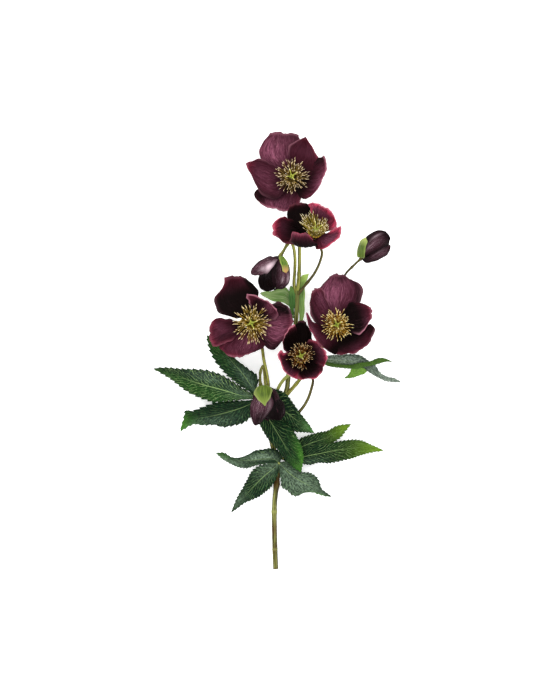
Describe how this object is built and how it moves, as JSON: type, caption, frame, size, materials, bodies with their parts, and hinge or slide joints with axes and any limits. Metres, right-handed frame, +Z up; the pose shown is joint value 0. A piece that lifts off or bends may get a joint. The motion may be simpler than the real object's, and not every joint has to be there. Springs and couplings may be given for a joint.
{
  "type": "hellebore flower",
  "caption": "Cut spray of dark burgundy hellebore, lying down, with open cupped flowers, nodding buds and palmate leaves.",
  "frame": {"origin": "middle of the bounding box in plan, on the surface that the spray lies on", "axes": "+Y along the spray from the cut end of the stem to the top flower, +Z up, the way the open flowers face"},
  "size_m": [0.2231, 0.3942, 0.068],
  "materials": {
    "stem": "olive green plant stem, satin, streaked",
    "stalk": "olive green flower stalk, satin",
    "sepal": "dark burgundy sepal, soft cloth-like sheen, fine veins",
    "stamen": "cream and golden stamens, matt",
    "carpel": "yellow-green carpels, satin",
    "bud": "dark burgundy closed sepals, soft sheen",
    "bract": "bright green bract, satin, veined",
    "leaf": "dark green leathery leaf, glossy, pale veins"
  },
  "bodies": {
    "root": {"main_stem": "stem", "flower_1_stalk": "stalk", "flower_1_sepal_1": "sepal", "flower_1_sepal_2": "sepal", "flower_1_sepal_3": "sepal", "flower_1_sepal_4": "sepal", "flower_1_sepal_5": "sepal", "flower_1_stamens": "stamen", "flower_1_carpels": "carpel", "flower_2_stalk": "stalk", "flower_2_sepal_1": "sepal", "flower_2_sepal_2": "sepal", "flower_2_sepal_3": "sepal", "flower_2_sepal_4": "sepal", "flower_2_sepal_5": "sepal", "flower_2_stamens": "stamen", "flower_2_carpels": "carpel", "flower_3_stalk": "stalk", "flower_3_sepal_1": "sepal", "flower_3_sepal_2": "sepal", "flower_3_sepal_3": "sepal", "flower_3_sepal_4": "sepal", "flower_3_sepal_5": "sepal", "flower_3_stamens": "stamen", "flower_3_carpels": "carpel", "flower_4_stalk": "stalk", "flower_4_sepal_1": "sepal", "flower_4_sepal_2": "sepal", "flower_4_sepal_3": "sepal", "flower_4_sepal_4": "sepal", "flower_4_sepal_5": "sepal", "flower_4_stamens": "stamen", "flower_4_carpels": "carpel", "flower_5_stalk": "stalk", "flower_5_sepal_1": "sepal", "flower_5_sepal_2": "sepal", "flower_5_sepal_3": "sepal", "flower_5_sepal_4": "sepal", "flower_5_sepal_5": "sepal", "flower_5_stamens": "stamen", "flower_5_carpels": "carpel", "bud_1_stalk": "stalk", "bud_1": "bud", "bud_1_bract": "bract", "bud_2_stalk": "stalk", "bud_2": "bud", "bud_2_bract": "bract", "bud_3_stalk": "stalk", "bud_3": "bud", "bud_3_bract": "bract", "leaf_1": "leaf", "leaf_2": "leaf", "leaf_3": "leaf", "leaf_4": "leaf", "bract_leaf_left": "bract", "bract_leaf_middle": "bract", "bract_leaf_right": "bract"}
  },
  "joints": []
}
